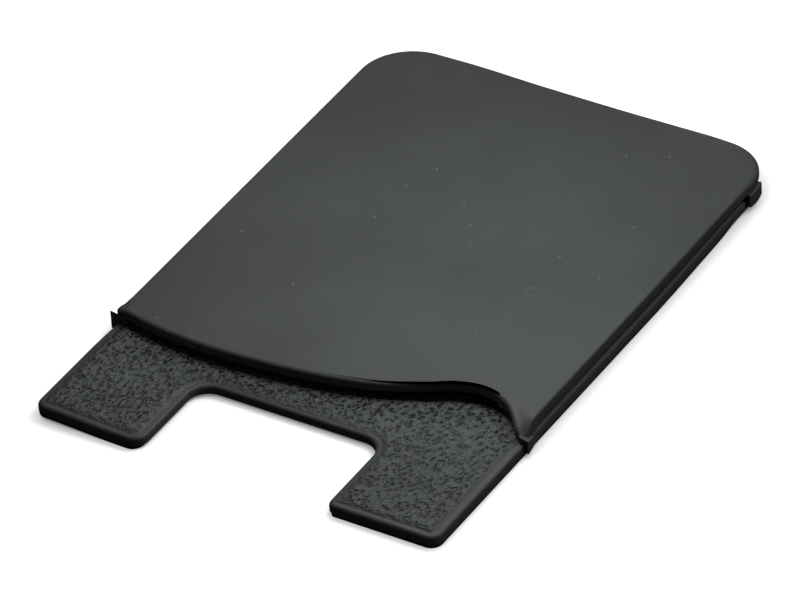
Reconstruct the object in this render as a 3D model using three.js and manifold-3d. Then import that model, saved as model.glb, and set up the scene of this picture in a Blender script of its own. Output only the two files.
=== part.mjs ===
// A stick-on card holder for the back of a phone, in millimetres, +Z up.
//
// The holder is one silicone moulding: a back panel with two tabs and a thumb notch, a front panel
// with a wave-shaped lip, and a thin wall between them that leaves the near end open for the card.
// The wall stands back from the outline, so a groove runs round the closed sides.
// Under the back panel lies a sheet of double-sided adhesive.
//
// The origin is in the middle of the adhesive's underside. +Y points to the closed end, +X to the side
// where the lip comes down to the back panel.

import * as THREE from 'three';
import { mergeVertices } from 'three/addons/utils/BufferGeometryUtils.js';
import Module from 'manifold-3d';

const wasm = await Module();
wasm.setup();

// Card, as every bank card is made
const cardWidth = 53.98;
const cardThickness = 0.76;
const cardSideClearance = 0.45;
const cardFaceClearance = 0.34;

// Walls and panels
const wallThickness = 0.65;
const grooveDepth = 0.93;
const backThickness = 1.3;
const frontThickness = 1.35;
const backEdgeRound = 0.5;
const frontEdgeRound = 0.35;
const adhesiveThickness = 0.45;

// Outline seen from above
const holderLength = 86;
const farCornerRadius = 6.6;
const tabOuterRadius = 1.8;
const tabInnerRadius = 2;
const notchWidth = 27.05;
const notchDepth = 14;
const notchOffset = -0.1;
const notchCornerRadius = 2.8;
const backLeftProud = 0.35;

// Adhesive, set back from the outline
const adhesiveInset = 0.05;
const adhesiveNotchInset = 0.6;
const adhesiveFarInset = 1;
const adhesiveFarRadius = 9;

// Lip of the front panel: distances from the left or the right side, and from the near ends of the tabs
const lipFromLeft = [[8, 18.45], [15.7, 18.1], [26.8, 19]];
const lipFromRight = [[22, 20.8], [15.9, 23.4], [11.9, 25.6], [8.2, 26.3], [4.4, 25.1], [1.4, 23.1]];
const lipLeftEnd = 20.4;
const lipRightEnd = 22.1;
const lipRightRound = 1.6;
const lipFlare = 0.6;
const lipFlareLength = 1.6;
const lipFlareEnd = 0.8;

// Right end of the lip, where the panel slopes down to the back panel
const slopeTopFromEnd = 2;
const slopeTopFromSide = 0.3;
const slopeTurn = -12;
const slopeRise = 1.28;
const slopeWidth = 4.6;
const slopeFootWidth = 1.5;

// Ears at the mouth: the near ends of the wall, drawn out to the sides. Their tops slope from the inner
// to the outer height above the back panel.
const earRoot = 0.6;
const leftEarProud = 0.45;
const leftEarFromLip = 1.6;
const leftEarLength = 1.6;
const leftEarInnerHeight = 1.15;
const leftEarOuterHeight = 2.25;
const rightEarProud = 0.35;
const rightEarFromLip = 1;
const rightEarLength = 3.6;
const rightEarInnerHeight = 1.15;
const rightEarOuterHeight = 0.55;

// Lug at the far right corner, left by the mould's gate
const lugProud = 0.5;
const lugRoot = 0.3;
const lugStart = 10;
const lugSweep = 45;
const lugHeight = 0.55;

// Fineness of round stretches
const curveSteps = 6;
const edgeSteps = 3;
const fuse = 0.2;

// Heights and outline that follow from the sizes above
const backBottom = adhesiveThickness;
const slotBottom = backBottom + backThickness;
const slotTop = slotBottom + cardThickness + cardFaceClearance;
const frontTop = slotTop + frontThickness;
const pocketHalf = cardWidth / 2 + cardSideClearance;
const wallHalf = pocketHalf + wallThickness;
const side = wallHalf + grooveDepth;
const near = -holderLength / 2;
const far = holderLength / 2;
const backLeftSide = side + backLeftProud;

// Colours in linear light
const silicone = new THREE.MeshStandardMaterial({
  name: 'silicone', color: new THREE.Color(0.062, 0.068, 0.07), roughness: 0.72, metalness: 0,
});
const foamTape = new THREE.MeshStandardMaterial({
  name: 'adhesive', color: new THREE.Color(0.04, 0.042, 0.044), roughness: 0.6, metalness: 0,
});

// A closed three.js geometry as a solid that can be joined and cut
function solid(geometry) {
  geometry.deleteAttribute('normal');
  geometry.deleteAttribute('uv');
  const merged = mergeVertices(geometry);
  return new wasm.Manifold(new wasm.Mesh({
    numProp: 3,
    vertProperties: new Float32Array(merged.attributes.position.array),
    triVerts: new Uint32Array(merged.index.array),
  }));
}

// The finished solid as a three.js geometry with flat faces
function geometryOf(body) {
  const mesh = body.getMesh();
  const geometry = new THREE.BufferGeometry();
  geometry.setAttribute('position', new THREE.BufferAttribute(new Float32Array(mesh.vertProperties), 3));
  geometry.setIndex(new THREE.BufferAttribute(new Uint32Array(mesh.triVerts), 1));
  geometry.computeVertexNormals();
  return geometry;
}

// An outline extruded from bottom to top
function plate(shape, bottom, top) {
  const geometry = new THREE.ExtrudeGeometry(shape, {
    depth: top - bottom, bevelEnabled: false, curveSegments: curveSteps,
  });
  return geometry.translate(0, 0, bottom);
}

// A solid panel whose upper edge is rounded and whose lower edge is sharp. It is made with both edges
// round, a little too deep, and what lies below the bottom is cut off.
function panel(shape, bottom, top, round) {
  const geometry = new THREE.ExtrudeGeometry(shape, {
    depth: top - bottom - round,
    bevelEnabled: true,
    bevelThickness: round,
    bevelSize: round,
    bevelOffset: -round,
    bevelSegments: edgeSteps,
    curveSegments: curveSteps,
  });
  return solid(geometry.translate(0, 0, bottom)).trimByPlane([0, 0, 1], bottom);
}

// A closed outline of straight runs joined by arcs, from corners given as [x, y, radius]
function roundedShape(corners) {
  const shape = new THREE.Shape();
  corners.forEach(([x, y, radius], i) => {
    const here = new THREE.Vector2(x, y);
    const before = corners[(i + corners.length - 1) % corners.length];
    const after = corners[(i + 1) % corners.length];
    const back = new THREE.Vector2(before[0], before[1]).sub(here).normalize();
    const on = new THREE.Vector2(after[0], after[1]).sub(here).normalize();
    const start = here.clone().addScaledVector(back, radius);
    const centre = start.clone().addScaledVector(on, radius);
    const end = here.clone().addScaledVector(on, radius);
    const turnsRight = back.cross(on) > 0;
    if (i === 0) shape.moveTo(start.x, start.y);
    else shape.lineTo(start.x, start.y);
    shape.absarc(
      centre.x, centre.y, radius,
      Math.atan2(start.y - centre.y, start.x - centre.x),
      Math.atan2(end.y - centre.y, end.x - centre.x),
      turnsRight,
    );
  });
  return shape;
}

// Outline of the back panel
function backShape() {
  const notchLeft = notchOffset - notchWidth / 2;
  const notchRight = notchOffset + notchWidth / 2;
  return roundedShape([
    [-backLeftSide, near, tabOuterRadius],
    [notchLeft, near, tabInnerRadius],
    [notchLeft, near + notchDepth, notchCornerRadius],
    [notchRight, near + notchDepth, notchCornerRadius],
    [notchRight, near, tabInnerRadius],
    [side, near, tabOuterRadius],
    [side, far, farCornerRadius],
    [-backLeftSide, far, farCornerRadius],
  ]);
}

// Outline of the adhesive, set back from the back panel's, most at the notch and the far end
function sheetShape() {
  const left = -backLeftSide + adhesiveInset;
  const right = side - adhesiveInset;
  const tabEnd = near + adhesiveInset;
  const notchLeft = notchOffset - notchWidth / 2 - adhesiveNotchInset;
  const notchRight = notchOffset + notchWidth / 2 + adhesiveNotchInset;
  const notchEnd = near + notchDepth + adhesiveNotchInset;
  const farEnd = far - adhesiveFarInset;
  return roundedShape([
    [left, tabEnd, tabOuterRadius],
    [notchLeft, tabEnd, tabInnerRadius],
    [notchLeft, notchEnd, notchCornerRadius],
    [notchRight, notchEnd, notchCornerRadius],
    [notchRight, tabEnd, tabInnerRadius],
    [right, tabEnd, tabOuterRadius],
    [right, farEnd, adhesiveFarRadius],
    [left, farEnd, adhesiveFarRadius],
  ]);
}

// Outline of the front panel: the wave of the lip, the two sides and the closed end
function frontShape() {
  const lip = [
    new THREE.Vector2(-side - lipFlare, near + lipLeftEnd),
    ...lipFromLeft.map(([x, y]) => new THREE.Vector2(-side + x, near + y)),
    ...lipFromRight.map(([x, y]) => new THREE.Vector2(side - x, near + y)),
  ];
  const shape = new THREE.Shape();
  shape.moveTo(lip[0].x, lip[0].y);
  shape.splineThru(lip.slice(1));
  shape.quadraticCurveTo(side, near + lipRightEnd, side, near + lipRightEnd + lipRightRound);
  shape.lineTo(side, far - farCornerRadius);
  shape.absarc(side - farCornerRadius, far - farCornerRadius, farCornerRadius, 0, Math.PI / 2);
  shape.lineTo(-side + farCornerRadius, far);
  shape.absarc(-side + farCornerRadius, far - farCornerRadius, farCornerRadius, Math.PI / 2, Math.PI);
  shape.lineTo(-side, near + lipLeftEnd + lipFlareLength);
  shape.quadraticCurveTo(-side, near + lipLeftEnd + lipFlareEnd, lip[0].x, near + lipLeftEnd + lipFlareEnd);
  shape.closePath();
  return shape;
}

// The wall between the panels: a U that is open at the near end
function wallShape() {
  const radius = farCornerRadius - grooveDepth;
  const innerRadius = radius - wallThickness;
  const outerFar = far - grooveDepth;
  const innerFar = outerFar - wallThickness;
  const leftEnd = near + lipLeftEnd + frontEdgeRound;
  const rightEnd = near + lipRightEnd;
  const shape = new THREE.Shape();
  shape.moveTo(pocketHalf, rightEnd);
  shape.lineTo(wallHalf, rightEnd);
  shape.lineTo(wallHalf, outerFar - radius);
  shape.absarc(wallHalf - radius, outerFar - radius, radius, 0, Math.PI / 2);
  shape.lineTo(-wallHalf + radius, outerFar);
  shape.absarc(-wallHalf + radius, outerFar - radius, radius, Math.PI / 2, Math.PI);
  shape.lineTo(-wallHalf, leftEnd);
  shape.lineTo(-pocketHalf, leftEnd);
  shape.lineTo(-pocketHalf, innerFar - innerRadius);
  shape.absarc(-pocketHalf + innerRadius, innerFar - innerRadius, innerRadius, Math.PI, Math.PI / 2, true);
  shape.lineTo(pocketHalf - innerRadius, innerFar);
  shape.absarc(pocketHalf - innerRadius, innerFar - innerRadius, innerRadius, Math.PI / 2, 0, true);
  shape.closePath();
  return shape;
}

// A profile in the YZ plane, carried along X from one place to another
function acrossX(points, from, to) {
  const shape = new THREE.Shape(points.map(([y, z]) => new THREE.Vector2(y, z)));
  const geometry = new THREE.ExtrudeGeometry(shape, { depth: to - from, bevelEnabled: false });
  return geometry.rotateX(Math.PI / 2).rotateZ(Math.PI / 2).translate(from, 0, 0);
}

// The foot that fills the groove under the right end of the lip
function slopeFoot() {
  const start = near + lipRightEnd;
  return acrossX([
    [start, slotBottom - fuse],
    [start + slopeTopFromEnd, slotBottom - fuse],
    [start + slopeTopFromEnd, slotTop + fuse],
    [start, slotTop + fuse],
  ], side - slopeFootWidth, side);
}

// What is cut away above the slope: a wedge whose lower face falls towards the near end
function slopeCut() {
  const reach = slopeTopFromEnd + slopeWidth;
  const above = frontTop + frontThickness;
  const lowest = (frontTop - slotBottom) / slopeRise;
  const wedge = acrossX([
    [0, frontTop],
    [(frontTop - above) / -slopeRise, above],
    [-reach, above],
    [-reach, slotBottom],
    [-lowest, slotBottom],
  ], -slopeWidth, slopeWidth);
  wedge.rotateZ(THREE.MathUtils.degToRad(slopeTurn));
  return wedge.translate(side - slopeTopFromSide, near + lipRightEnd + slopeTopFromEnd, 0);
}

// An ear at the mouth, on the right (sign 1) or the left (sign -1): a wedge that is full at its near
// end and runs out along the side face
function ear(sign, face, proud, start, length, innerHeight, outerHeight) {
  const inner = sign * (face - earRoot);
  const outer = sign * (face + proud);
  const last = sign * (face - backEdgeRound / 2);
  const end = start + length;
  return wasm.Manifold.hull([
    [inner, start, backBottom],
    [outer, start, backBottom],
    [outer, start, slotBottom + outerHeight],
    [inner, start, slotBottom + innerHeight],
    [inner, end, backBottom],
    [last, end, backBottom],
    [last, end, slotBottom - backEdgeRound],
    [inner, end, slotBottom - backEdgeRound],
  ]);
}

// The lug round the far right corner, from the table up into the groove
function lug() {
  const from = THREE.MathUtils.degToRad(lugStart);
  const to = THREE.MathUtils.degToRad(lugStart + lugSweep);
  const shape = new THREE.Shape();
  shape.absarc(side - farCornerRadius, far - farCornerRadius, farCornerRadius + lugProud, from, to, false);
  shape.absarc(side - farCornerRadius, far - farCornerRadius, farCornerRadius - lugRoot, to, from, true);
  shape.closePath();
  return plate(shape, 0, slotBottom + lugHeight);
}

function holder() {
  const front = panel(frontShape(), slotTop, frontTop, frontEdgeRound)
    .add(solid(slopeFoot()))
    .subtract(solid(slopeCut()));
  const wall = solid(plate(wallShape(), slotBottom - fuse, slotTop + fuse));
  const leftStart = near + lipLeftEnd - leftEarFromLip;
  const rightStart = near + lipRightEnd - rightEarFromLip;
  return panel(backShape(), backBottom, slotBottom, backEdgeRound)
    .add(wall)
    .add(front)
    .add(ear(
      -1, backLeftSide, leftEarProud, leftStart, leftEarLength, leftEarInnerHeight, leftEarOuterHeight,
    ))
    .add(ear(
      1, side, rightEarProud, rightStart, rightEarLength, rightEarInnerHeight, rightEarOuterHeight,
    ))
    .add(solid(lug()));
}

function named(name, geometry, material) {
  const mesh = new THREE.Mesh(geometry, material);
  mesh.name = name;
  return mesh;
}

const cardHolder = new THREE.Group();
cardHolder.add(named('holder', geometryOf(holder()), silicone));
cardHolder.add(named('adhesive_pad', plate(sheetShape(), 0, backBottom), foamTape));

export default cardHolder;
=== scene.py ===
# %% [markdown]
# # A stick-on card holder, built from its outlines
#
# The real object is one silicone moulding that sticks to the back of a phone. It has a back panel with
# two tabs and a thumb notch, a front panel with a wave-shaped lip, and a thin wall between the two.
# Under it lies a sheet of double-sided adhesive.
#
# The script turns each flat outline into a closed skin, joins the silicone skins into one, gives them
# their materials, and sets up the floor, the lamps and the camera.

# %% [markdown]
# ## Load the frame
#
# The CAD model fixes where everything is. Its box is kept.

import math

import bmesh
import bpy
import numpy as np
from mathutils import Matrix, Vector


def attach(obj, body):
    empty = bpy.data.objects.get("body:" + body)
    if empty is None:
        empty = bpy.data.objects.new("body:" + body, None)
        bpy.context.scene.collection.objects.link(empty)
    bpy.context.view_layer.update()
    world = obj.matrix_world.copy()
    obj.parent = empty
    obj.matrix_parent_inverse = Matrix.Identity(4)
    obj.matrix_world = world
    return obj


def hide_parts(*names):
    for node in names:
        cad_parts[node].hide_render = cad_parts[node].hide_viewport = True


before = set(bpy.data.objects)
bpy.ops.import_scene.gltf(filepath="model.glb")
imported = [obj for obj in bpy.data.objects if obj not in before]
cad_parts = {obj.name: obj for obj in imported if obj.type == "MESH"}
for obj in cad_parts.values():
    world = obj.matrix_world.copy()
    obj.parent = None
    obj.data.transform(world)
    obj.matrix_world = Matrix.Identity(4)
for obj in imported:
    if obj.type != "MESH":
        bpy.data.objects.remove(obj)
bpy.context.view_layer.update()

# %% [markdown]
# ## Sizes
#
# Every length is in millimetres and is turned into metres only when a mesh is made. The heights stack
# up from the table: adhesive, back panel, card slot, front panel.

# %% Sizes
MM = 0.001
BACK_BOTTOM = 0.45
SLOT_BOTTOM = 1.75
SLOT_TOP = 2.85
FRONT_TOP = 4.2
SIDE = 29.02
RIGHT = 29.33
BACK_LEFT = 29.37
NEAR = -43.0
FAR = 43.0
FAR_RADIUS = 6.5
FRONT_FAR = 42.85
FRONT_LEFT = 28.86
LEFT_FAR_RADIUS = 7.3
NOTCH_LEFT = -13.625
NOTCH_RIGHT = 13.425
NOTCH_END = NEAR + 14.0
WALL_OUT = 28.09
WALL_IN = 27.44
GROOVE = 0.93
WALL = 0.65

# %% [markdown]
# ## Lines and arcs
#
# An outline is a row of points. `line` and `arc` give evenly spaced points from the first to the last,
# and `chain` joins such rows without repeating the point where they meet.


# %% Lines and arcs
def line(start, end, steps):
    """P(t) = start + t (end - start), with t from 0 to 1 in equal steps."""
    t = np.linspace(0.0, 1.0, steps + 1)[:, None]
    return np.array(start, float) + t * (np.array(end, float) - np.array(start, float))


def arc(centre, radius, first, last, steps):
    """P(a) = centre + radius (cos a, sin a), with the angle a from first to last in degrees."""
    a = np.radians(np.linspace(first, last, steps + 1))[:, None]
    return np.array(centre, float) + radius * np.hstack([np.cos(a), np.sin(a)])


def chain(*rows):
    """The rows one after another, each without its first point, which is the last of the row before."""
    return np.vstack([rows[0]] + [row[1:] for row in rows[1:]])


def curve_through(points, steps):
    """A Catmull-Rom curve: each span is the cubic whose end slopes are half the step between neighbours."""
    p = np.array(points, float)
    p = np.vstack([2 * p[0] - p[1], p, 2 * p[-1] - p[-2]])
    t = np.linspace(0.0, 1.0, steps, endpoint=False)[None, :, None]
    a, b, c, d = (p[i : len(p) - 3 + i, None, :] for i in range(4))
    spans = 0.5 * (2 * b + (c - a) * t + (2 * a - 5 * b + 4 * c - d) * t**2 + (3 * b - a - 3 * c + d) * t**3)
    return np.vstack([spans.reshape(-1, 2), p[-2]])


def smooth(value, low, high):
    """s = t t (3 - 2 t), with t from 0 at low to 1 at high."""
    t = np.clip((value - low) / (high - low), 0.0, 1.0)
    return t * t * (3 - 2 * t)


def spaced(points, steps):
    """The same curve with its points at equal distances along it."""
    length = np.concatenate([[0.0], np.cumsum(np.linalg.norm(np.diff(points, axis=0), axis=1))])
    s = np.linspace(0.0, length[-1], steps + 1)
    return np.column_stack([np.interp(s, length, points[:, 0]), np.interp(s, length, points[:, 1])])


def inward(loop, distance):
    """P - d n for a closed loop that runs anticlockwise, where d stays below 0.7 of the bend's radius."""
    ahead = np.roll(loop, -1, axis=0) - loop
    step = ahead + np.roll(ahead, 1, axis=0)
    step /= np.linalg.norm(step, axis=1)[:, None]
    heading = np.unwrap(np.arctan2(ahead[:, 1], ahead[:, 0]))
    turn = np.diff(heading, prepend=heading[-1] - 2 * math.pi) / np.linalg.norm(ahead, axis=1)
    bend = np.max([np.roll(turn, i) for i in range(-5, 6)], axis=0)
    bend = np.mean([np.roll(bend, i) for i in range(-5, 6)], axis=0)
    allowed = np.minimum(distance * np.ones(len(loop)), 0.7 / np.maximum(bend, 1e-3))[:, None]
    return loop + allowed * np.column_stack([-step[:, 1], step[:, 0]])


# %% [markdown]
# ## The outline of the back panel
#
# The loop starts at the near left corner and runs anticlockwise, seen from above. It is kept in named
# runs, because each run is also the side of a patch that fills the outline.


# %% Back outline
def back_runs():
    """The runs of the back panel's outline, anticlockwise from the near left corner."""
    outer, inner, notch, sharp = 1.6, 2.0, 2.8, 1.3
    return {
        "left_near": line((-BACK_LEFT + outer, NEAR), (NOTCH_LEFT - inner, NEAR), 40),
        "left_notch": chain(
            arc((NOTCH_LEFT - inner, NEAR + inner), inner, -90, 0, 14),
            line((NOTCH_LEFT, NEAR + inner), (NOTCH_LEFT, NOTCH_END - notch), 26),
            arc((NOTCH_LEFT + notch, NOTCH_END - notch), notch, 180, 90, 14),
        ),
        "notch": line((NOTCH_LEFT + notch, NOTCH_END), (NOTCH_RIGHT - notch, NOTCH_END), 60),
        "right_notch": chain(
            arc((NOTCH_RIGHT - notch, NOTCH_END - notch), notch, 90, 0, 14),
            line((NOTCH_RIGHT, NOTCH_END - notch), (NOTCH_RIGHT, NEAR + sharp), 26),
            arc((NOTCH_RIGHT + sharp, NEAR + sharp), sharp, 180, 270, 14),
        ),
        "right_near": line((NOTCH_RIGHT + sharp, NEAR), (RIGHT - outer, NEAR), 40),
        "right_tab": chain(
            arc((RIGHT - outer, NEAR + outer), outer, -90, 0, 14),
            line((RIGHT, NEAR + outer), (RIGHT, NOTCH_END), 40),
        ),
        "right": chain(
            line((RIGHT, NOTCH_END), (RIGHT, FAR - FAR_RADIUS), 70),
            arc((RIGHT - FAR_RADIUS, FAR - FAR_RADIUS), FAR_RADIUS, 0, 90, 24),
        ),
        "far": line((RIGHT - FAR_RADIUS, FAR), (-BACK_LEFT + LEFT_FAR_RADIUS, FAR), 140),
        "left": chain(
            arc((-BACK_LEFT + LEFT_FAR_RADIUS, FAR - LEFT_FAR_RADIUS), LEFT_FAR_RADIUS, 90, 180, 24),
            line((-BACK_LEFT, FAR - LEFT_FAR_RADIUS), (-BACK_LEFT, NOTCH_END), 70),
        ),
        "left_tab": chain(
            line((-BACK_LEFT, NOTCH_END), (-BACK_LEFT, NEAR + outer), 40),
            arc((-BACK_LEFT + outer, NEAR + outer), outer, 180, 270, 14),
        ),
    }


def as_loop(runs):
    """The closed loop that the runs make, without the repeated first point, and each run's indices in it."""
    points, where, start = [], {}, 0
    for name, run in runs.items():
        points.append(run[:-1])
        where[name] = np.arange(start, start + len(run))
        start += len(run) - 1
    where = {name: index % start for name, index in where.items()}
    return np.vstack(points), where


def bowed(loop, pull):
    """Bows as fine as a soft moulding shows: y grows along the far edge, x shrinks towards the far right."""
    x, y = loop.T
    far = 0.3 * smooth(x, 4.0, 24.0) + 0.22 * np.exp(-((x + 15) / 6) ** 2)
    return np.column_stack([
        x - pull * smooth(y, 10.0, 34.0) * smooth(x, 15.0, 28.0), y + far * smooth(y, 20.0, FAR)])


BACK_LOOP, BACK_AT = as_loop(back_runs())
BACK_LOOP = bowed(BACK_LOOP, 0.4)
print("back outline", len(BACK_LOOP), "points, area", round(0.5 * abs(np.sum(
    BACK_LOOP[:, 0] * np.roll(BACK_LOOP[:, 1], -1) - BACK_LOOP[:, 1] * np.roll(BACK_LOOP[:, 0], -1))) / 100, 2),
    "cm2")

# %% [markdown]
# ## The outline of the front panel
#
# The lip is a wave: low on the left, high near the right. Its left end sticks out past the side as a
# small rounded bead. The other three sides are almost straight, with the same far corners as the back
# panel.

# %% Front outline
LIP = [
    (-SIDE + 0.1, NEAR + 19.55), (-SIDE + 1.4, NEAR + 19.4), (-SIDE + 4.7, NEAR + 18.75),
    (-SIDE + 8.3, NEAR + 18.3), (-SIDE + 16, NEAR + 18.05), (-SIDE + 27.1, NEAR + 19.0),
    (SIDE - 22, NEAR + 20.8), (SIDE - 15.9, NEAR + 23.4), (SIDE - 11.9, NEAR + 25.6),
    (SIDE - 8.2, NEAR + 26.3), (SIDE - 4.4, NEAR + 25.1), (RIGHT - 1.4, NEAR + 21.9),
]


def front_runs():
    """The runs of the front panel's outline, anticlockwise from the left end of the lip."""
    lip = spaced(curve_through(LIP, 24), 190)
    right_round = curve_through([LIP[-1], (RIGHT - 0.35, NEAR + 21.6), (RIGHT, NEAR + 22.5)], 6)
    left_bead = curve_through(
        [(-FRONT_LEFT, NEAR + 22.4), (-SIDE - 0.05, NEAR + 21.3), (-SIDE - 0.4, NEAR + 20.75),
         (-SIDE - 0.5, NEAR + 20.0), LIP[0]], 6)
    return {
        "lip": lip,
        "right": chain(
            right_round,
            line((RIGHT, NEAR + 22.5), (RIGHT, FRONT_FAR - FAR_RADIUS), 60),
            arc((RIGHT - FAR_RADIUS, FRONT_FAR - FAR_RADIUS), FAR_RADIUS, 0, 90, 24),
        ),
        "far": line((RIGHT - FAR_RADIUS, FRONT_FAR), (-FRONT_LEFT + LEFT_FAR_RADIUS, FRONT_FAR), 190),
        "left": chain(
            arc((-FRONT_LEFT + LEFT_FAR_RADIUS, FRONT_FAR - LEFT_FAR_RADIUS), LEFT_FAR_RADIUS, 90, 180, 24),
            line((-FRONT_LEFT, FRONT_FAR - LEFT_FAR_RADIUS), (-FRONT_LEFT, NEAR + 22.4), 48),
            left_bead,
        ),
    }


FRONT_LOOP, FRONT_AT = as_loop(front_runs())
FRONT_LOOP = bowed(FRONT_LOOP, 0.15)
print("front outline", {name: len(index) for name, index in FRONT_AT.items()})

# %% [markdown]
# ## Filling an outline
#
# A Coons patch fills four border curves with a grid. It blends the two pairs of opposite sides and takes
# off what the corners would count twice, so its edge points are exactly the points of the curves.


# %% Coons patch
def coons(bottom, top, left, right):
    """P(u, v) = (1-v) B(u) + v T(u) + (1-u) L(v) + u R(v) - the bilinear blend of the four corners."""
    u = np.linspace(0.0, 1.0, len(bottom))[None, :, None]
    v = np.linspace(0.0, 1.0, len(left))[:, None, None]
    corners = (1 - u) * (1 - v) * bottom[0] + u * (1 - v) * bottom[-1] + (1 - u) * v * top[0] + u * v * top[-1]
    return (1 - v) * bottom[None] + v * top[None] + (1 - u) * left[:, None] + u * right[:, None] - corners


def front_grids(loop):
    """The grid inside the front outline."""
    side = {name: loop[index] for name, index in FRONT_AT.items()}
    return [coons(side["lip"], side["far"][::-1], side["left"][::-1], side["right"])]


def back_grids(loop):
    """Three grids inside the back outline: the left tab, the right tab and the body above them."""
    side = {name: loop[index] for name, index in BACK_AT.items()}
    left_top = line(side["left_tab"][0], side["left_notch"][-1], len(side["left_near"]) - 1)
    right_top = line(side["right_notch"][0], side["right_tab"][-1], len(side["right_near"]) - 1)
    return [
        coons(side["left_near"], left_top, side["left_tab"][::-1], side["left_notch"]),
        coons(side["right_near"], right_top, side["right_notch"][::-1], side["right_tab"]),
        coons(chain(left_top, side["notch"], right_top), side["far"][::-1], side["left"][::-1], side["right"]),
    ]


# %% [markdown]
# ## A plate with rounded edges
#
# The top and the bottom are filled outlines. Between them lies a stack of rings: each ring is the
# outline moved in by a little, at its own height, so that together they round the edge. Rings and
# grids share their border points, and welding them makes one closed skin.


# %% Plate
def grid_faces(rows, columns, first, closed=False):
    """Corner numbers of the squares of a grid whose points are numbered row by row from first."""
    index = first + np.arange(rows * columns).reshape(rows, columns)
    if closed:
        index = np.hstack([index, index[:, :1]])
    return np.stack([index[:-1, :-1], index[:-1, 1:], index[1:, 1:], index[1:, :-1]], axis=-1).reshape(-1, 4)


def rounded(loop, bottom, top, radius_top, radius_bottom, steps=5):
    """Rings (inset, height) of a quarter circle at either edge: inset r (1 - sin a), drop r (1 - cos a)."""
    angle = np.linspace(0.0, math.pi / 2, steps + 1)[:, None]
    radius_top, radius_bottom = radius_top * np.ones(len(loop)), radius_bottom * np.ones(len(loop))
    upper = zip((1 - np.sin(angle)) * radius_top, top - (1 - np.cos(angle)) * radius_top)
    lower = zip((1 - np.cos(angle)) * radius_bottom, bottom + (1 - np.sin(angle)) * radius_bottom)
    return [*upper, *lower]


def plate(loop, grids, rings):
    """The first and the last ring are filled with grids, and the rings between them make the edge."""
    points, faces, count = [], [], 0
    for inset, height in (rings[0], rings[-1]):
        for grid in grids(inward(loop, inset)):
            rows, columns = grid.shape[:2]
            points.append(np.column_stack([grid.reshape(-1, 2), np.full(rows * columns, np.mean(height))]))
            faces.append(grid_faces(rows, columns, count))
            count += rows * columns
    stack = [np.column_stack([inward(loop, inset), height * np.ones(len(loop))]) for inset, height in rings]
    points.append(np.vstack(stack))
    faces.append(grid_faces(len(stack), len(loop), count, closed=True))
    return np.vstack(points), np.vstack(faces)


def mesh_of(name, points, faces, caps=()):
    """A mesh in metres, welded where grids and rings meet, with its faces turned outwards."""
    mesh = bpy.data.meshes.new(name)
    mesh.from_pydata((points * MM).tolist(), [], faces.tolist() + list(caps))
    skin = bmesh.new()
    skin.from_mesh(mesh)
    bmesh.ops.remove_doubles(skin, verts=skin.verts, dist=0.002 * MM)
    bmesh.ops.recalc_face_normals(skin, faces=skin.faces)
    open_edges = sum(not edge.is_manifold for edge in skin.edges)
    skin.to_mesh(mesh)
    skin.free()
    print(name, len(mesh.vertices), "points,", len(mesh.polygons), "faces,", open_edges, "open edges")
    return mesh


def reshape(mesh, rule):
    """Moves all points of a mesh at once: new = rule(old), both in mm."""
    flat = np.empty(3 * len(mesh.vertices), np.float32)
    mesh.vertices.foreach_get("co", flat)
    moved = rule(flat.reshape(-1, 3).astype(float) / MM) * MM
    mesh.vertices.foreach_set("co", moved.astype(np.float32).ravel())
    mesh.update()


# %% [markdown]
# ## How the holder lies
#
# The silicone isn't quite flat on the table. The left tab curls up by half a millimetre towards its
# outer corner, and the adhesive sheet under it follows. `lift` gives that height at any place.


# %% Lie
def lift(x, y):
    """Height in mm by which the left tab is raised: full at its outer side, none from the middle on."""
    return 0.55 * smooth(-x, 15.0, 29.5) * (1 - smooth(y, NEAR + 13.0, NEAR + 26.0))


def lay(points):
    """The same points, raised as the holder lies."""
    laid = points.copy()
    laid[:, 2] += lift(points[:, 0], points[:, 1]) * (points[:, 2] < SLOT_BOTTOM + 0.3)
    return laid


# %% [markdown]
# ## The front panel's right end
#
# There the lip comes down to the back panel. A tilted plane through a hinge line gives the height of the
# slope, and whatever stands above it is pressed down onto it. A foot below closes the groove.


# %% Slope
CREASE = np.array([
    (SIDE - 5.6, NEAR + 26.7), (SIDE - 4.0, NEAR + 26.1), (SIDE - 2.2, NEAR + 25.2), (SIDE - 0.75, NEAR + 24.3),
    (SIDE - 0.2, NEAR + 23.9), (SIDE + 1.0, NEAR + 23.3)])
LIP_DROP = np.array([
    (SIDE - 5.6, 0.0), (SIDE - 3.7, 0.1), (SIDE - 2.75, 0.35), (SIDE - 1.8, 0.8), (SIDE - 1.05, 1.25),
    (SIDE - 0.3, 1.9), (SIDE + 0.3, 2.3)])


def press_slope(points):
    """Upper points go to z - drop(x) t, with t from 0 at the crease to 1 at the lip. Lower ones form a foot."""
    x, y, z = points.T
    crease = np.interp(x, CREASE[:, 0], CREASE[:, 1])
    lip = np.interp(x, [p[0] for p in LIP] + [RIGHT], [p[1] for p in LIP] + [NEAR + 21.6])
    t = np.clip((crease - y) / np.maximum(crease - lip, 0.3), 0.0, 1.15)
    drop = np.interp(x, LIP_DROP[:, 0], LIP_DROP[:, 1]) * t
    lower = smooth(SLOT_TOP + 0.3 - z, 0.0, 0.25)
    foot = smooth(x, SIDE - 2.0, SIDE - 1.2) * (1 - smooth(y, NEAR + 23.9, NEAR + 24.7))
    under = z - foot * (z - SLOT_BOTTOM + 0.25)
    upper = np.maximum(z - drop, SLOT_BOTTOM - 0.1)
    pressed = np.where(lower > 0, np.minimum(under, upper - 0.05), upper)
    droop = 0.45 * smooth(-x, SIDE - 1.2, SIDE + 0.5) * (1 - smooth(y, NEAR + 20.0, NEAR + 22.4))
    return np.column_stack([x, y, pressed - droop])


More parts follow.
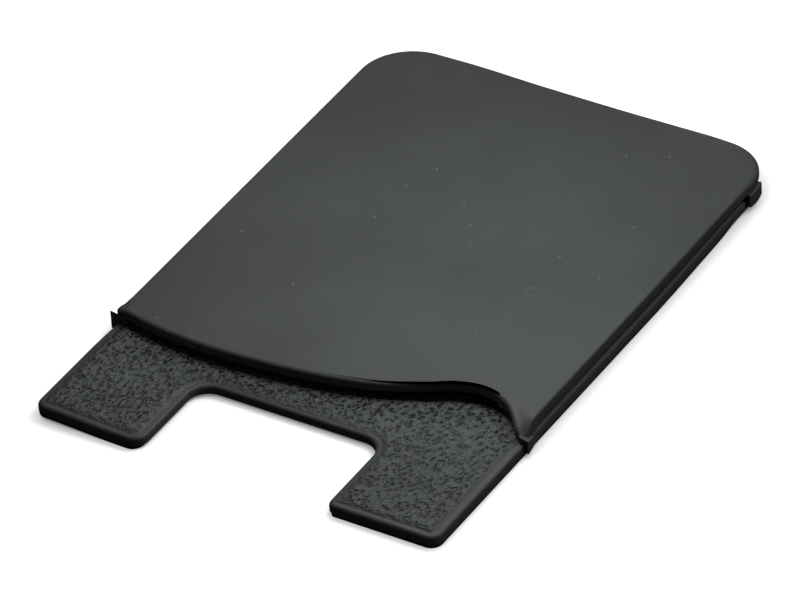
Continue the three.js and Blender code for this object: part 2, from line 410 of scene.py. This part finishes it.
# %% [markdown]
# ## The silicone skins
#
# The back panel, the wall, the front panel, the two ears of flash and the lug are closed skins that
# reach a little into each other. A union then makes one skin of them, as it is one moulding.


# %% Wall
def wall():
    """A tube of square section carried along the U between the panels: inside, up, outside, down."""
    outer_r, inner_r = FAR_RADIUS - GROOVE, FAR_RADIUS - GROOVE - WALL
    outer_far, inner_far = FAR - GROOVE, FAR - GROOVE - WALL

    def u_path(half, far, radius):
        return chain(
            line((half, NEAR + 23.0), (half, far - radius), 40),
            arc((half - radius, far - radius), radius, 0, 90, 24),
            line((half - radius, far), (-half + radius, far), 40),
            arc((-half + radius, far - radius), radius, 90, 180, 24),
            line((-half, far - radius), (-half, NEAR + 20.9), 40),
        )

    outside, inside = (
        bowed(u_path(WALL_OUT, outer_far, outer_r), 0.1), bowed(u_path(WALL_IN, inner_far, inner_r), 0.1))
    low, high = SLOT_BOTTOM - 0.2, SLOT_TOP + 0.2
    section = [(outside, low), (outside, high), (inside, high), (inside, low)]
    rows = np.stack([np.column_stack([path, np.full(len(path), z)]) for path, z in section], axis=1)
    points = rows.reshape(-1, 3)
    faces = grid_faces(len(rows), 4, 0, closed=True)
    last = len(points)
    ends = np.array([[0, 1, 2, 3], [last - 4, last - 3, last - 2, last - 1]])
    return points, np.vstack([faces, ends])


def facing_right(loop):
    """The sideways part of the outward normal: 1 where an edge faces right, -1 where it faces left."""
    along = np.roll(loop, -1, axis=0) - np.roll(loop, 1, axis=0)
    return along[:, 1] / np.linalg.norm(along, axis=1)


turned = facing_right(BACK_LOOP)
back_round = 0.5 - 0.1 * np.maximum(turned, 0) ** 2 + 0.2 * np.minimum(turned, 0) ** 2
back_skin = mesh_of("back_skin", *plate(
    BACK_LOOP, back_grids, rounded(BACK_LOOP, BACK_BOTTOM, SLOT_BOTTOM, back_round, 0.05)))
turned = facing_right(FRONT_LOOP)
front_round = 0.5 - 0.15 * turned**2 + 0.45 * smooth(FRONT_LOOP[:, 0], 19.0, 26.0) * smooth(
    FRONT_LOOP[:, 1], 31.0, 38.0)
front_skin = mesh_of("front_skin", *plate(
    FRONT_LOOP, front_grids, rounded(FRONT_LOOP, SLOT_TOP, FRONT_TOP, front_round, 0.08, steps=7)))
reshape(front_skin, press_slope)
wall_skin = mesh_of("wall_skin", *wall())


# %% [markdown]
# ## Ears and lug
#
# At the mouth a small point of flash stands up on either side. At the far right corner the mould's gate
# left a small lug that closes the groove.


# %% Ears and lug
def ear(sign, face, proud, wide, start, length, inner_height, outer_height):
    """A wedge: its section shrinks from the near face to nothing, S(t) = near + (end - near) t."""
    inner, outer = face - wide, face + proud
    near_section = [(inner, BACK_BOTTOM), (outer, BACK_BOTTOM), (outer, SLOT_BOTTOM + outer_height),
                    (inner, SLOT_BOTTOM + inner_height)]
    low = SLOT_BOTTOM - 0.5
    end_section = [(inner, BACK_BOTTOM), (face - 0.25, BACK_BOTTOM), (face - 0.25, low), (inner, low)]
    t = np.linspace(0.0, 1.0, 13)[:, None, None]
    section = np.array(near_section) + (np.array(end_section) - np.array(near_section)) * t
    y = np.broadcast_to(start + length * t, section.shape[:2] + (1,))
    grid = np.concatenate([sign * section[..., :1], y, section[..., 1:]], axis=-1)
    rows, columns = grid.shape[:2]
    caps = [list(range(columns)), list(range((rows - 1) * columns, rows * columns))]
    return grid.reshape(-1, 3), grid_faces(rows, columns, 0, closed=True), caps


def lug():
    """Four rings round the corner: inside low, outside low, outside high, inside high."""
    centre = (RIGHT - FAR_RADIUS, FAR - FAR_RADIUS)
    outer = arc(centre, FAR_RADIUS + 0.3, -10, 20, 20)
    inner = arc(centre, FAR_RADIUS - 1.0, -10, 20, 20)
    section = [(inner, 0.9), (outer, 0.9), (outer, SLOT_TOP - 0.2), (inner, SLOT_TOP - 0.2)]
    rows = np.stack([np.column_stack([path, np.full(len(path), z)]) for path, z in section], axis=1)
    faces = grid_faces(len(rows), 4, 0, closed=True)
    last = 4 * len(rows)
    ends = np.array([[0, 1, 2, 3], [last - 4, last - 3, last - 2, last - 1]])
    return rows.reshape(-1, 3), np.vstack([faces, ends])


left_ear = mesh_of("left_ear", *ear(-1, BACK_LEFT, 0.9, 1.5, NEAR + 19.5, 1.7, 1.3, 1.75))
right_ear = mesh_of("right_ear", *ear(1, RIGHT, 0.6, 0.8, NEAR + 21.35, 5.0, 1.0, 0.55))
lug_skin = mesh_of("lug_skin", *lug())


# %% [markdown]
# ## One skin
#
# The holder is a single moulding, so its skins are joined. The solver asks for closed meshes, and that is
# why each one was welded and counted for open edges first.


# %% Union
def union(name, meshes):
    """One mesh from several closed ones, by the Boolean modifier's manifold solver."""
    objects = [bpy.data.objects.new(f"{name}_{i}", mesh) for i, mesh in enumerate(meshes)]
    for obj in objects:
        bpy.context.scene.collection.objects.link(obj)
    for other in objects[1:]:
        modifier = objects[0].modifiers.new("join", "BOOLEAN")
        modifier.operation = "UNION"
        modifier.solver = "MANIFOLD"
        modifier.object = other
    graph = bpy.context.evaluated_depsgraph_get()
    joined = bpy.data.meshes.new_from_object(objects[0].evaluated_get(graph))
    for obj in objects:
        bpy.data.objects.remove(obj)
    joined.name = name
    return joined


holder_mesh = union("holder_skin", [back_skin, wall_skin, front_skin, left_ear, right_ear, lug_skin])
holder_mesh.materials.clear()
reshape(holder_mesh, lay)
print("holder", len(holder_mesh.vertices), "points,", len(holder_mesh.polygons), "faces")

# %% [markdown]
# ## The adhesive under the holder
#
# The sheet of adhesive is almost flush with the outline and stands back from the notch.


# %% Adhesive
def adhesive_sheet():
    """The back outline, moved in by 0.05 mm, by 0.6 mm at the notch and by 1 mm at the far end."""
    inset = np.full(len(BACK_LOOP), 0.05)
    around = np.concatenate([BACK_AT[name] for name in ("left_notch", "notch", "right_notch")])
    inset[around[10:-10]] = 0.6
    inset = np.maximum(inset, smooth(BACK_LOOP[:, 1], FAR - 11.0, FAR - 5.0))
    inset = np.mean([np.roll(inset, i) for i in range(-6, 7)], axis=0)
    points, faces = plate(inward(BACK_LOOP, inset), back_grids, [(0.0, BACK_BOTTOM), (0.0, 0.0)])
    points[:, 2] += lift(points[:, 0], points[:, 1])
    return mesh_of("adhesive", points, faces)


adhesive_mesh = adhesive_sheet()


def place(name, mesh, node, slot):
    """An object at the origin that stands for a CAD node."""
    obj = bpy.data.objects.new(name, mesh)
    bpy.context.scene.collection.objects.link(obj)
    mesh.polygons.foreach_set("use_smooth", np.ones(len(mesh.polygons), bool))
    mesh.set_sharp_from_angle(angle=math.radians(40))
    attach(obj, "root")
    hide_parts(node)
    return obj


holder = place("card_holder", holder_mesh, "holder", "silicone")
adhesive = place("adhesive_sheet", adhesive_mesh, "adhesive_pad", "adhesive")

# %% [markdown]
# ## Where the grain is
#
# The back panel has a leather grain on its upper face, and a smooth rim along its edges. Two values are
# stored on the points: how much grain there is, and how near the mouth of the pocket the point lies, where
# the grain is deeper and its pits get more painted shade. A third one marks the lip's face on the left,
# where white lint has caught.


# %% Grain masks
def store(mesh, name, values):
    """A named value on each point, which the materials read."""
    mesh.attributes.new(name, "FLOAT", "POINT").data.foreach_set("value", values.astype(np.float32))


def distance_to(loop, points):
    """The least distance from each point to the loop, over blocks, so that the table stays small."""
    blocks = np.array_split(points, max(1, len(points) // 2000))
    return np.concatenate([
        np.sqrt(((block[:, None] - loop[None]) ** 2).sum(axis=2).min(axis=1)) for block in blocks])


where = np.empty(3 * len(holder_mesh.vertices), np.float32)
holder_mesh.vertices.foreach_get("co", where)
where = where.reshape(-1, 3).astype(float) / MM
on_back = (where[:, 2] > SLOT_BOTTOM - 0.1) & (where[:, 2] < SLOT_BOTTOM + 0.7) & (where[:, 1] < NEAR + 30)
leather = np.zeros(len(where))
leather[on_back] = smooth(distance_to(BACK_LOOP, where[on_back, :2]), 0.75, 1.9)
store(holder_mesh, "leather", leather)
lip_y = np.interp(where[:, 0], [p[0] for p in LIP], [p[1] for p in LIP])
store(holder_mesh, "mouth", smooth(where[:, 1], lip_y - 7.0, lip_y - 0.5))
at_lip = (np.abs(where[:, 1] - lip_y) < 1.2) & (where[:, 2] > SLOT_TOP - 0.1) & (where[:, 2] < FRONT_TOP - 0.15)
store(holder_mesh, "lint", at_lip * smooth(-where[:, 0], -8.0, 20.0))
print("points with grain", int((leather > 0).sum()))

# %% [markdown]
# ## Shared effects
#
# Three effects are node groups, built once and placed in each material with its own values: a fine
# moulded grain, the leather grain, and dust. All of them work in millimetres of the object's own space.


# %% Node groups
def node(tree, kind, inputs=None, **settings):
    """A node with its settings, whose inputs are linked to a socket or set to a value."""
    new = tree.nodes.new(kind)
    for key, value in settings.items():
        setattr(new, key, value)
    for key, value in (inputs or {}).items():
        if isinstance(value, bpy.types.NodeSocket):
            tree.links.new(value, new.inputs[key])
        else:
            new.inputs[key].default_value = value
    return new


def maths(tree, operation, *values):
    """The result of a Math node."""
    return node(tree, "ShaderNodeMath", dict(enumerate(values)), operation=operation).outputs[0]


def span(tree, value, low, high, first=0.0, last=1.0):
    """Value between low and high, mapped smoothly to first and last."""
    return node(tree, "ShaderNodeMapRange", {
        "Value": value, "From Min": low, "From Max": high, "To Min": first, "To Max": last},
        interpolation_type="SMOOTHSTEP").outputs["Result"]


def new_group(name, inputs, outputs):
    """An empty node group with its sockets, and its input and output nodes."""
    tree = bpy.data.node_groups.new(name, "ShaderNodeTree")
    for label, kind in inputs.items():
        tree.interface.new_socket(name=label, in_out="INPUT", socket_type=kind)
    for label in outputs:
        tree.interface.new_socket(name=label, in_out="OUTPUT", socket_type="NodeSocketFloat")
    return tree, tree.nodes.new("NodeGroupInput"), tree.nodes.new("NodeGroupOutput")


def scaled(tree, vector, factors):
    """The vector times three factors."""
    return node(tree, "ShaderNodeVectorMath", {0: vector, 1: factors}, operation="MULTIPLY").outputs[0]


def fine_grain():
    """Height: two octaves of noise. Tone: broad cloudy patches, as handling leaves on matte rubber."""
    tree, given, result = new_group(
        "fine grain", {"Place": "NodeSocketVector", "Size": "NodeSocketFloat"}, ["Height", "Tone"])
    place = given.outputs["Place"]
    grain = node(tree, "ShaderNodeTexNoise", {
        "Vector": place, "Scale": maths(tree, "DIVIDE", 1.0, given.outputs["Size"]),
        "Detail": 2.0, "Roughness": 0.6})
    cloud = node(tree, "ShaderNodeTexNoise", {"Vector": place, "Scale": 0.05, "Detail": 3.0, "Roughness": 0.55})
    tree.links.new(grain.outputs[0], result.inputs["Height"])
    tree.links.new(cloud.outputs[0], result.inputs["Tone"])
    return tree


def leather_grain():
    """Height: ridges between stretched cells, broken by noise. Pits: the bottoms between them, where the
    silicone material paints shade.
    """
    tree, given, result = new_group(
        "leather grain", {"Place": "NodeSocketVector", "Size": "NodeSocketFloat"}, ["Height", "Pits"])
    turned = node(tree, "ShaderNodeVectorRotate", {
        "Vector": given.outputs["Place"], "Angle": math.radians(21.6)}, rotation_type="Z_AXIS").outputs[0]
    stretched = scaled(tree, turned, (1.6, 1.0, 1.0))
    sway = node(tree, "ShaderNodeTexNoise", {"Vector": stretched, "Scale": 0.9, "Detail": 2.0})
    bent = node(tree, "ShaderNodeVectorMath", {
        0: stretched, 1: scaled(tree, sway.outputs["Color"], (1.3, 1.3, 0.0))}, operation="ADD").outputs[0]
    scale = maths(tree, "DIVIDE", 1.0, given.outputs["Size"])
    cells = node(tree, "ShaderNodeTexVoronoi", {"Vector": bent, "Scale": scale}, feature="SMOOTH_F1")
    cells.inputs["Smoothness"].default_value = 0.35
    noise = node(tree, "ShaderNodeTexNoise", {
        "Vector": bent, "Scale": maths(tree, "MULTIPLY", scale, 1.4), "Detail": 2.0, "Roughness": 0.6})
    hills = span(tree, cells.outputs["Distance"], 0.1, 0.75)
    rough = maths(tree, "MULTIPLY", noise.outputs[0], 0.9)
    relief = maths(tree, "ADD", maths(tree, "MULTIPLY", hills, 0.5), rough)
    tree.links.new(relief, result.inputs["Height"])
    tree.links.new(span(tree, relief, 0.74, 0.5), result.inputs["Pits"])
    return tree


def dust():
    """Specks: the middles of scattered cells, and only of the few cells whose own number is high."""
    tree, given, result = new_group(
        "dust", {"Place": "NodeSocketVector", "Spacing": "NodeSocketFloat", "Share": "NodeSocketFloat",
                 "Radius": "NodeSocketFloat"}, ["Specks"])
    cells = node(tree, "ShaderNodeTexVoronoi", {
        "Vector": given.outputs["Place"], "Scale": maths(tree, "DIVIDE", 1.0, given.outputs["Spacing"])})
    number = node(tree, "ShaderNodeSeparateColor", {0: cells.outputs["Color"]}).outputs[0]
    chosen = maths(tree, "LESS_THAN", number, given.outputs["Share"])
    across = maths(tree, "MULTIPLY", cells.outputs["Distance"], given.outputs["Spacing"])
    near = maths(tree, "LESS_THAN", across, given.outputs["Radius"])
    tree.links.new(maths(tree, "MULTIPLY", chosen, near), result.inputs["Specks"])
    return tree


FINE, LEATHER, DUST = fine_grain(), leather_grain(), dust()
print("node groups", [tree.name for tree in (FINE, LEATHER, DUST)])

# %% [markdown]
# ## Materials
#
# The silicone is matte and charcoal. Its colour drifts a little in broad patches and carries a few pale specks.
# On the leather grain its pits are painted darker as shade, most near the pocket's mouth, and the whole grained
# area is painted lighter, which shows as highlight on the ridges. The adhesive is a darker foam with fine open
# cells.


# %% Materials
def start_material(name, roughness, specular):
    """A Principled material, its tree, and the object's place in millimetres."""
    material = bpy.data.materials.new(name)
    material.use_nodes = True
    tree = material.node_tree
    shader = tree.nodes["Principled BSDF"]
    shader.inputs["Roughness"].default_value = roughness
    shader.inputs["Specular IOR Level"].default_value = specular
    place = scaled(tree, node(tree, "ShaderNodeTexCoord").outputs["Object"], (1000.0, 1000.0, 1000.0))
    return material, tree, shader, place


def placed(tree, group, place, **values):
    """A shared effect in a material, with the material's own values."""
    new = node(tree, "ShaderNodeGroup", {"Place": place}, node_tree=group)
    for label, value in values.items():
        new.inputs[label].default_value = value
    return new


def tinted(tree, colour, tone):
    """The colour times a grey value."""
    return node(tree, "ShaderNodeVectorMath", {0: colour, "Scale": tone}, operation="SCALE").outputs[0]


def mixed(tree, factor, first, second):
    """first (1 - factor) + second factor, for colours."""
    return node(tree, "ShaderNodeMix", {0: factor, 6: first, 7: second}, data_type="RGBA").outputs[2]


def silicone_material():
    material, tree, shader, place = start_material("silicone", 0.5, 0.22)
    fine = placed(tree, FINE, place, Size=0.3)
    hide = placed(tree, LEATHER, place, Size=0.85)
    specks = placed(tree, DUST, place, Spacing=1.7, Share=0.13, Radius=0.12)
    mask = node(tree, "ShaderNodeAttribute", attribute_name="leather").outputs["Fac"]
    mouth = node(tree, "ShaderNodeAttribute", attribute_name="mouth").outputs["Fac"]
    # Grain strength: full at the pocket's mouth, 0.65 elsewhere. It sets the bump's height and how much painted
    # shade the pits get.
    depth = maths(tree, "MULTIPLY", mask, maths(tree, "MULTIPLY_ADD", mouth, 0.35, 0.65))
    tone = span(tree, fine.outputs["Tone"], 0.3, 0.7, 0.9, 1.08)
    speckled = span(tree, fine.outputs["Height"], 0.3, 0.7, 0.96, 1.04)
    # Painted shade: the colour in the leather's pits is darkened by up to 0.9, as the shade that falls in them.
    pits = maths(tree, "MULTIPLY", hide.outputs["Pits"], depth)
    painted_pit_shade = maths(tree, "MULTIPLY_ADD", pits, -0.9, 1.0)
    # Painted light: the grained area is painted 1.55 times lighter than the smooth silicone, which shows as
    # highlight on the ridges between the shaded pits.
    painted_grain_light = maths(tree, "MULTIPLY_ADD", mask, 0.55, 1.0)
    tone_and_painted_light = maths(tree, "MULTIPLY", maths(tree, "MULTIPLY", tone, speckled), painted_grain_light)
    shade = maths(tree, "MULTIPLY", tone_and_painted_light, painted_pit_shade)
    colour = tinted(tree, (0.062, 0.067, 0.069), shade)
    lint = placed(tree, DUST, place, Spacing=0.5, Share=0.4, Radius=0.07)
    edge = node(tree, "ShaderNodeAttribute", attribute_name="lint").outputs["Fac"]
    all_dust = maths(tree, "MAXIMUM", maths(tree, "MULTIPLY", specks.outputs["Specks"], 0.5), maths(
        tree, "MULTIPLY", lint.outputs["Specks"], edge))
    dusty = mixed(tree, all_dust, colour, (0.4, 0.41, 0.41, 1.0))
    tree.links.new(dusty, shader.inputs["Base Color"])
    tree.links.new(maths(tree, "MULTIPLY_ADD", pits, 0.2, 0.5), shader.inputs["Roughness"])
    relief = node(tree, "ShaderNodeBump", {
        "Height": maths(tree, "MULTIPLY", hide.outputs["Height"], depth), "Distance": 0.001})
    relief.inputs["Strength"].default_value = 1.0
    skin = node(tree, "ShaderNodeBump", {
        "Height": fine.outputs["Height"], "Distance": 0.000012, "Normal": relief.outputs[0]})
    tree.links.new(skin.outputs[0], shader.inputs["Normal"])
    return material


def adhesive_material():
    material, tree, shader, place = start_material("adhesive", 0.8, 0.2)
    foam = placed(tree, FINE, place, Size=0.18)
    specks = placed(tree, DUST, place, Spacing=0.9, Share=0.12, Radius=0.1)
    colour = tinted(tree, (0.04, 0.042, 0.044), span(tree, foam.outputs["Height"], 0.3, 0.7, 0.75, 1.25))
    dusty = mixed(tree, specks.outputs["Specks"], colour, (0.16, 0.16, 0.16, 1.0))
    tree.links.new(dusty, shader.inputs["Base Color"])
    cells = node(tree, "ShaderNodeBump", {"Height": foam.outputs["Height"], "Distance": 0.00003})
    tree.links.new(cells.outputs[0], shader.inputs["Normal"])
    return material


holder.data.materials.append(silicone_material())
adhesive.data.materials.append(adhesive_material())

# %% [markdown]
# ## Camera
#
# The photo was taken with a long lens from the near right, 37 degrees above the table. The camera is
# rolled by almost 4 degrees.


# %% Camera
def camera():
    """Columns of the camera's matrix: right, up and back, then its place: target + distance * back."""
    azimuth, elevation, roll = (math.radians(a) for a in (33.3866, 36.6633, -3.8633))
    back = np.array([
        math.sin(azimuth) * math.cos(elevation),
        -math.cos(azimuth) * math.cos(elevation),
        math.sin(elevation),
    ])
    level = np.cross([0.0, 0.0, 1.0], back)
    level /= np.linalg.norm(level)
    upright = np.cross(back, level)
    right = math.cos(roll) * level + math.sin(roll) * upright
    up = -math.sin(roll) * level + math.cos(roll) * upright
    place_mm = np.array([-1.160, -1.057, 0.0]) + 1084.2 * back
    data = bpy.data.cameras.new("camera")
    data.sensor_width = 36.0
    data.lens = 384.36
    data.clip_start = 0.05
    data.clip_end = 20.0
    obj = bpy.data.objects.new("camera", data)
    matrix = np.eye(4)
    matrix[:3, :4] = np.column_stack([right, up, back, place_mm * MM])
    obj.matrix_world = Matrix(matrix.tolist())
    bpy.context.scene.collection.objects.link(obj)
    bpy.context.scene.camera = obj


camera()


# %% [markdown]
# ## Floor, lamps and world
#
# The main softbox stands far to the left, so the faces towards the camera stay dark and a soft shadow
# falls to the near right. One at the side lights the right edges, and a small one close above makes the
# middle of the panel brighter than its corners. The floor and the world look white to the camera,
# and throw little light back at the object, as on a big table with black screens in front of it. Close
# to the object the floor's glow is dimmed by ambient occlusion, a painted contact shadow added to the
# lamps' real one.


# %% Floor, lamps and world
def area(name, place, back, size, power):
    """A square lamp that shines against the direction back."""
    data = bpy.data.lights.new(name, "AREA")
    data.size = size
    data.energy = power
    obj = bpy.data.objects.new(name, data)
    obj.location = place
    obj.rotation_mode = "QUATERNION"
    obj.rotation_quaternion = (-Vector(back)).to_track_quat("-Z", "Y")
    bpy.context.scene.collection.objects.link(obj)
    return obj


area("main softbox", (-0.33, 0.5, 0.5), (-0.33, 0.5, 0.5), 0.3, 0.45)
area("side softbox", (0.3, 0.25, 0.5), (0.3, 0.25, 0.5), 0.35, 1.5)
area("near top softbox", (0.01, 0.0, 0.07), (0.0, 0.0, 1.0), 0.035, 0.034)


def seen_white(tree, output, rest, brightness):
    """Adds a glow to a shader, seen only by the camera and through glass."""
    path = node(tree, "ShaderNodeLightPath")
    seen = maths(tree, "MAXIMUM", path.outputs["Is Camera Ray"], path.outputs["Is Transmission Ray"])
    glow = node(tree, "ShaderNodeEmission", {"Strength": maths(tree, "MULTIPLY", seen, brightness)})
    both = node(tree, "ShaderNodeAddShader", {0: rest, 1: glow.outputs[0]})
    tree.links.new(both.outputs[0], output)


floor_mesh = bpy.data.meshes.new("floor")
floor_mesh.from_pydata([(-2, -2, 0), (2, -2, 0), (2, 2, 0), (-2, 2, 0)], [], [(0, 1, 2, 3)])
floor = bpy.data.objects.new("floor", floor_mesh)
bpy.context.scene.collection.objects.link(floor)
floor_material = bpy.data.materials.new("floor")
floor_material.use_nodes = True
tree = floor_material.node_tree
tree.nodes.clear()
floor_output = tree.nodes.new("ShaderNodeOutputMaterial")
camera_ray = node(tree, "ShaderNodeLightPath").outputs["Is Camera Ray"]
paper = node(tree, "ShaderNodeBsdfDiffuse", {"Color": mixed(
    tree, camera_ray, (0.05, 0.05, 0.05, 1.0), (0.55, 0.55, 0.55, 1.0))})
# Painted shadow: the glow that only the camera sees is lowered where ambient occlusion finds the object near.
painted_shadow_ao = node(tree, "ShaderNodeAmbientOcclusion", {"Distance": 0.014}, samples=8).outputs["AO"]
brightness = maths(tree, "MULTIPLY_ADD", painted_shadow_ao, 0.85, 0.06)
seen_white(tree, floor_output.inputs["Surface"], paper.outputs[0], brightness)
floor_mesh.materials.append(floor_material)

world = bpy.data.worlds.new("studio")
bpy.context.scene.world = world
world.use_nodes = True
tree = world.node_tree
air = tree.nodes["Background"]
air.inputs["Color"].default_value = (1, 1, 1, 1)
air.inputs["Strength"].default_value = 0.05
seen_white(tree, tree.nodes["World Output"].inputs["Surface"], air.outputs[0], 0.95)

bpy.context.scene.view_settings.view_transform = "Standard"
